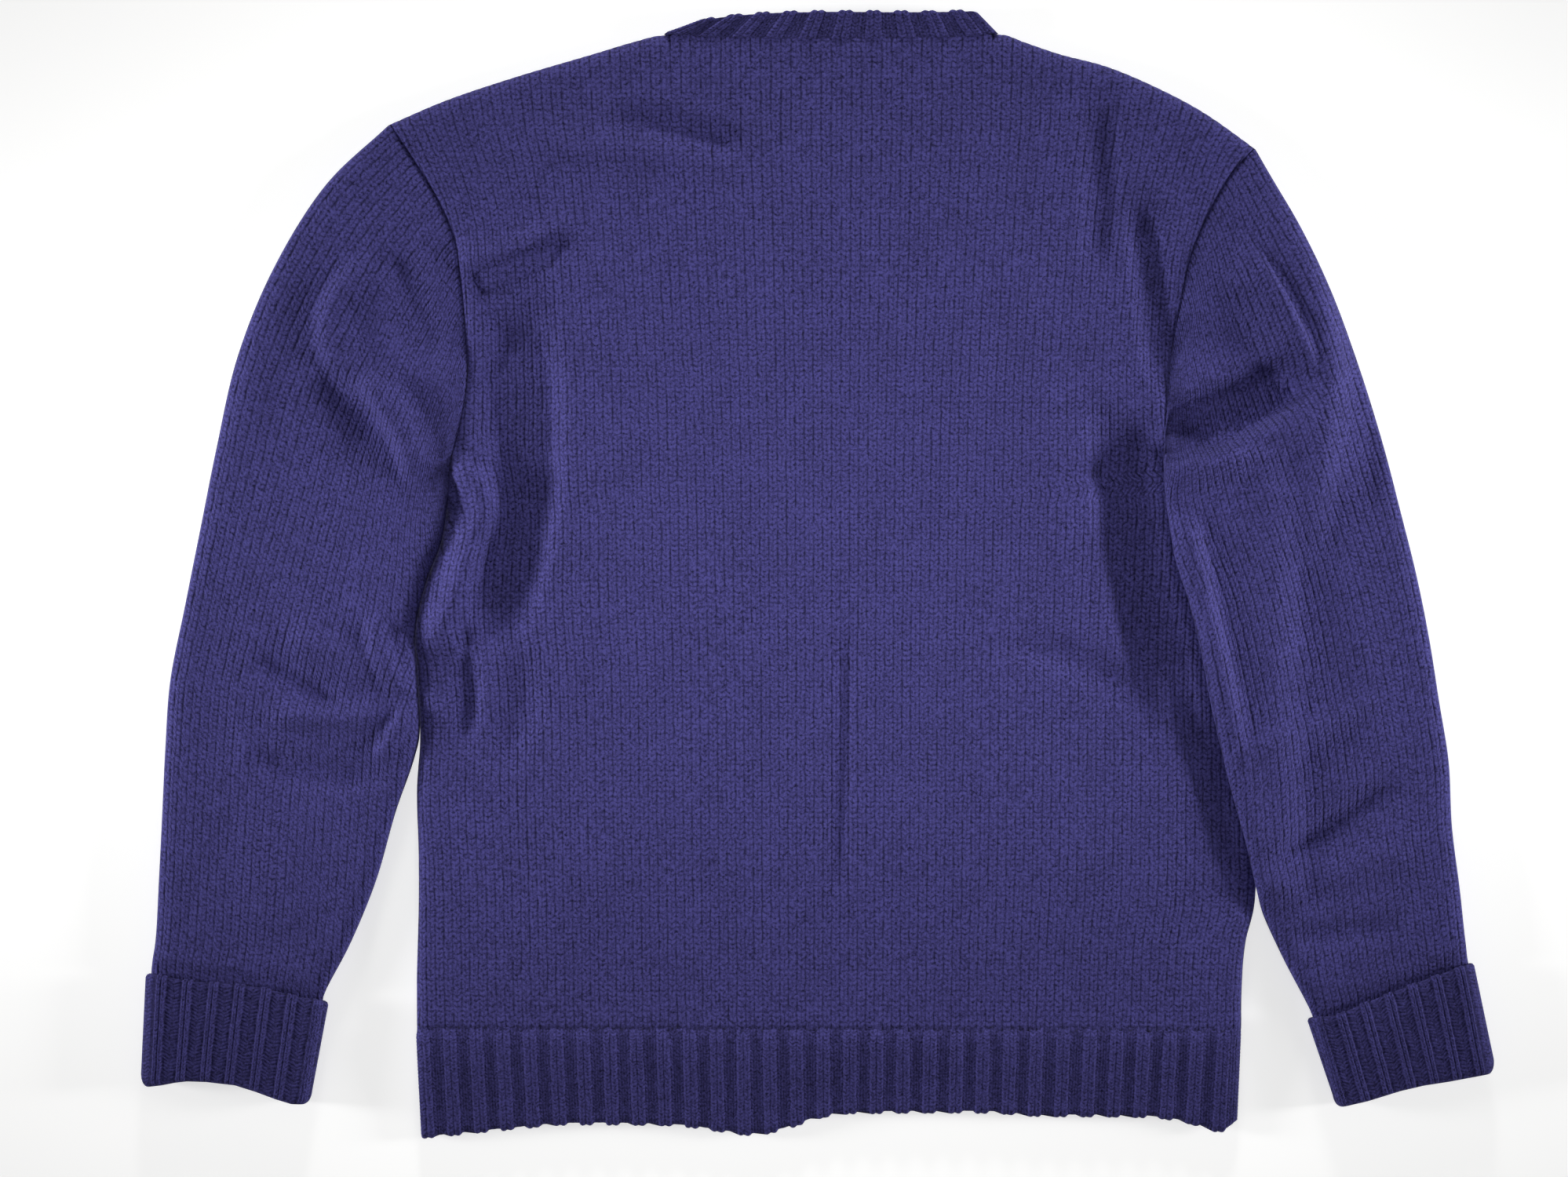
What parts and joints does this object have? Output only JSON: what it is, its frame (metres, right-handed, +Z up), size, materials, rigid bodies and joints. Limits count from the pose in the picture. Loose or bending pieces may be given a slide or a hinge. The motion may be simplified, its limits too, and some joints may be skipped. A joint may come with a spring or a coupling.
{
  "type": "wool sweater",
  "caption": "Heavy knitted wool sweater laid flat on its front, with turned-back ribbed cuffs, ribbed hem and neckband.",
  "frame": {"origin": "on the surface that the sweater lies on, under the middle of its overall box", "axes": "+X across the sweater towards the viewer's right, +Y towards the neck, +Z up off the surface"},
  "size_m": [0.8406, 0.701, 0.0231],
  "materials": {
    "wool_plain": "brushed navy stocking-stitch wool",
    "wool_rib": "brushed navy ribbed wool"
  },
  "bodies": {
    "root": {"front_panel": "wool_plain", "back_panel": "wool_plain", "hem_rib_front": "wool_rib", "hem_rib_back": "wool_rib", "sleeve_left": "wool_plain", "sleeve_right": "wool_plain", "cuff_left": "wool_rib", "cuff_right": "wool_rib", "neckband": "wool_rib"}
  },
  "joints": []
}
